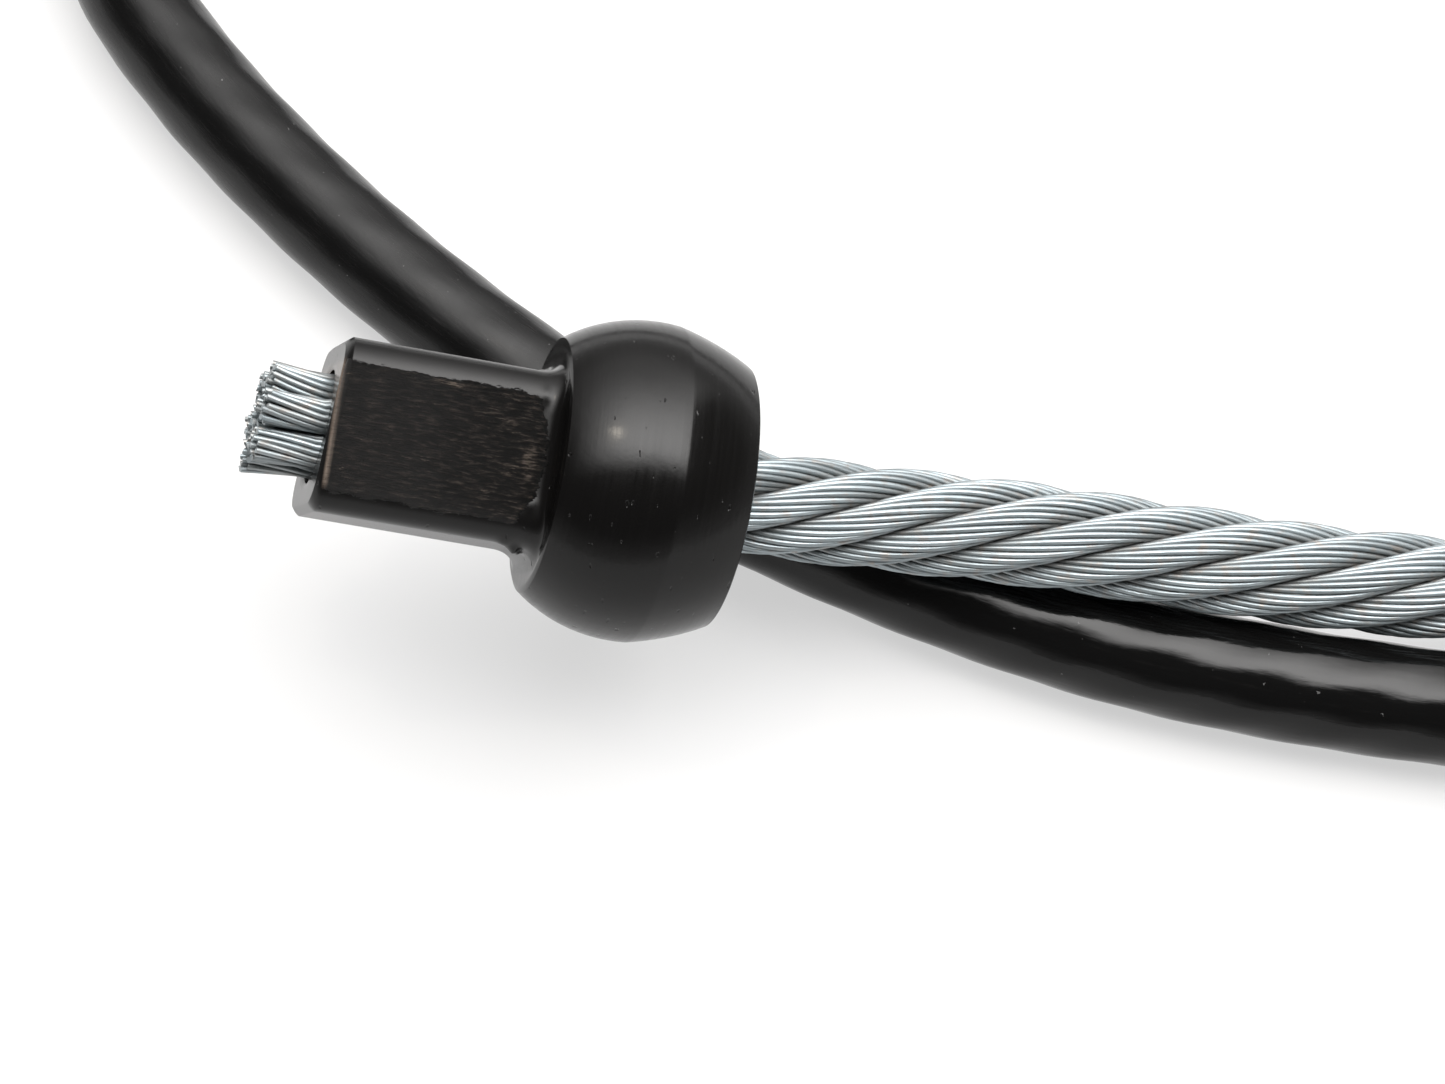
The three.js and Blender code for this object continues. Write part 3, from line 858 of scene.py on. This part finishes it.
def eye_line(start, end):
    """The eye's whole centreline, through the ferrule, round the thimble and back."""
    half = half_eye()
    mirrored = [(x, -y) for x, y in reversed(half)]
    straight = (FERRULE_LENGTH / 2, FERRULE_LENGTH - 2, FERRULE_LENGTH + 1)
    there = [(start, LEG_OFFSET), *((x, LEG_OFFSET) for x in straight)]
    back = [*((x, -LEG_OFFSET) for x in reversed(straight)), (end, -LEG_OFFSET)]
    points = [*there, *half, (EYE_CENTRE + EYE_R, 0), *mirrored, *back]
    return catmull_rom([(x, y, 0.0) for x, y in points])


def eye_rope(wire):
    hidden = 3.0
    line = eye_line(-STRIPPED - hidden, -DEAD_END)
    path, along = stretch(line, 0, lengths(line)[-1], 1.35)
    normals = frames(path, (0, 0, 1))[1]
    loft = Loft()
    add_wires(loft, path, along, normals, 6, 23, EYE_PHASE)
    loft.points = [placed(p, EYE_PLACE) for p in loft.points]
    piece = loft.piece("eye_rope_wires", wire, "zinc_wire", sharp=55.0)
    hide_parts("eye_rope")


def channel_section():
    """The thimble's channel, as (out from the rope's centreline, up) points round its outline."""
    groove = ROPE_D / 2 + GAP
    floor = -(groove + THIMBLE_WALL)
    half = THIMBLE_WIDTH / 2
    edge = (half - groove) / 2  # radius of the rounded lips
    rim = THIMBLE_LIP - edge
    bend = THIMBLE_BEND
    inner = [(math.sin(a) * groove, math.cos(a) * groove) for a in np.linspace(0, -math.pi, 21)]
    upper = [(rim + edge * math.sin(a), half - edge + edge * math.cos(a))
             for a in np.linspace(math.pi, 0, 9)[1:-1]]
    corner = [(floor + bend - bend * math.sin(a), half - bend + bend * math.cos(a))
              for a in np.linspace(0, math.pi / 2, 7)]
    lower, low_corner = ([(x, -z) for x, z in reversed(side)] for side in (upper, corner))
    return np.array([*inner, *lower, *low_corner, *corner, *upper])


def thimble(sheet):
    """The channel swept round the eye, with its two ends side by side at the ferrule."""
    line = eye_line(0, 0)
    path, along = stretch(line, 0, lengths(line)[-1], 0.8)
    ahead = unit(np.gradient(path, axis=0))
    outward = np.stack([-ahead[:, 1], ahead[:, 0], np.zeros(len(path))], axis=1)
    free = path[:, 0] > FERRULE_LENGTH + 4.5
    path, along, outward = path[free], along[free], outward[free]

    section = channel_section()
    rings = path[:, None] + outward[:, None] * section[:, :1]
    rings[..., 2] = section[:, 1]
    side = np.where(path[:, 1] > 0, 1.0, -1.0)[:, None]
    split = side * np.maximum(rings[..., 1] * side, THIMBLE_SPLIT)
    rings[..., 1] = np.where(path[:, :1] < EYE_CENTRE, split, rings[..., 1])
    rings[..., 0] = np.maximum(rings[..., 0], FERRULE_LENGTH + 0.4)
    marks = np.empty(rings.shape)
    marks[..., 0] = along[:, None]
    marks[..., 1:] = section
    loft = Loft()
    loft.add(placed(rings, EYE_PLACE).reshape(rings.shape), marks)
    piece = loft.piece("thimble_channel", sheet, "zinc_sheet", sharp=35.0)
    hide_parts("thimble")


def ferrule(metal):
    """The oval sleeve, with rounded mouths, and flash lines where the dies met."""
    half = FERRULE_HEIGHT / 2
    angle = around(FERRULE_SIDES)
    y, z = np.sin(angle), np.cos(angle)
    shift = np.sign(y) * (np.abs(y) > 1e-6) * (FERRULE_WIDTH - FERRULE_HEIGHT) / 2
    flash = np.exp(-((z / 0.05) ** 2)) * 0.35

    edge = FERRULE_EDGE
    turn = np.linspace(0.2, math.pi / 2, 7)
    mouth = [(0.0, -edge), *((edge * (1 - math.cos(a)), -edge * (1 - math.sin(a))) for a in turn)]
    body = [(x, 0.0) for x in np.linspace(edge, FERRULE_LENGTH - edge, 30)[1:-1]]
    far_mouth = [(FERRULE_LENGTH - x, inset) for x, inset in reversed(mouth)]
    x, inset = np.array([*mouth, *body, *far_mouth]).T[:, :, None]
    swell = 0.12 * (1 - (2 * x / FERRULE_LENGTH - 1) ** 4)
    radius = np.minimum(half + inset - 0.18 + swell + flash * (inset == 0.0), half + 0.15)
    rings = np.stack([x + 0 * radius, shift + y * radius, z * radius], axis=-1)
    loft = Loft()
    loft.add(placed(rings, EYE_PLACE).reshape(rings.shape), rings)
    piece = loft.piece("ferrule_sleeve", metal, "aluminium", sharp=35.0)
    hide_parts("eye_ferrule")


# ---- studio ----
FLOOR_SIZE = 6.0  # metres
FLOOR_GLOW = 0.58  # a lit floor, so shadows stay pale
HORIZON = 0.6  # brightness of the world at the horizon
ROOM = 0.10  # brightness of the unlit room above it
LAMP = 10.5  # brightness of the long lamp at its middle
LAMP_COLOUR = (1.0, 0.985, 0.975, 1.0)
GLINT_COLOUR = (1.0, 0.9, 0.75)


def make_floor():
    material, _, shader = new_material("floor")
    shader.inputs["Base Color"].default_value = grey(0.22)
    shader.inputs["Roughness"].default_value = 0.9
    shader.inputs["Specular IOR Level"].default_value = 0.0
    shader.inputs["Emission Color"].default_value = grey(1.0)
    shader.inputs["Emission Strength"].default_value = FLOOR_GLOW
    mesh = bpy.data.meshes.new("floor")
    r = FLOOR_SIZE / 2
    mesh.from_pydata([(-r, -r, 0), (r, -r, 0), (r, r, 0), (-r, r, 0)], [], [(0, 1, 2, 3)])
    mesh.materials.append(material)
    floor = bpy.data.objects.new("floor", mesh)
    bpy.context.scene.collection.objects.link(floor)


def small_lamp(azimuth, elevation, distance, size, radiance):
    """A small round lamp for one warm glint. Degrees, the azimuth from +X, and metres."""
    a, e = math.radians(azimuth), math.radians(elevation)
    way = Vector((math.cos(e) * math.cos(a), math.cos(e) * math.sin(a), math.sin(e)))
    data = bpy.data.lights.new("small_lamp", "AREA")
    data.shape = "DISK"
    data.size = size
    data.energy = radiance * math.pi * math.pi * (size / 2) ** 2
    data.color = GLINT_COLOUR
    light = bpy.data.objects.new("small_lamp", data)
    light.location = BALL_PLACE.translation * MM + way * distance
    light.rotation_euler = way.to_track_quat("Z", "Y").to_euler()
    bpy.context.scene.collection.objects.link(light)


def make_studio():
    """A long soft lamp overhead and behind, in a dim room with a pale horizon, and one glint."""
    world = bpy.data.worlds.new("studio")
    world.use_nodes = True
    background = world.node_tree.nodes["Background"]
    n = Nodes(world.node_tree)
    x, y, z = n.split(n.make("ShaderNodeTexCoord").outputs["Generated"])
    sideways = n.times(n.ramp(x, -0.75, 0.05), n.ramp(x, 0.76, 0.60))
    front = n.ramp(y, -0.42, -0.10)
    back = n.ramp(y, -0.05, 0.95, 1.0, 0.12)
    above = n.ramp(z, 0.05, 0.5)
    lamp = n.times(sideways, above, front, back, LAMP)
    room = n.ramp(z, 0.0, 0.35, HORIZON, ROOM)
    n.put(background.inputs["Color"], LAMP_COLOUR)
    n.put(background.inputs["Strength"], n.plus(room, lamp))
    bpy.context.scene.world = world
    small_lamp(159, 78, 0.8, 0.05, 90.0)
    make_floor()
    bpy.context.scene.view_settings.view_transform = "Standard"


def main():
    make_camera()
    wire, pvc = zinc_wire(), black_pvc()
    line = rope_line()
    bare_rope(line, wire)
    sheathed_rope(line, pvc)
    terminal(black_paint())
    tails(wire)
    eye_rope(wire)
    thimble(zinc_sheet())
    ferrule(aluminium())
    make_studio()


main()
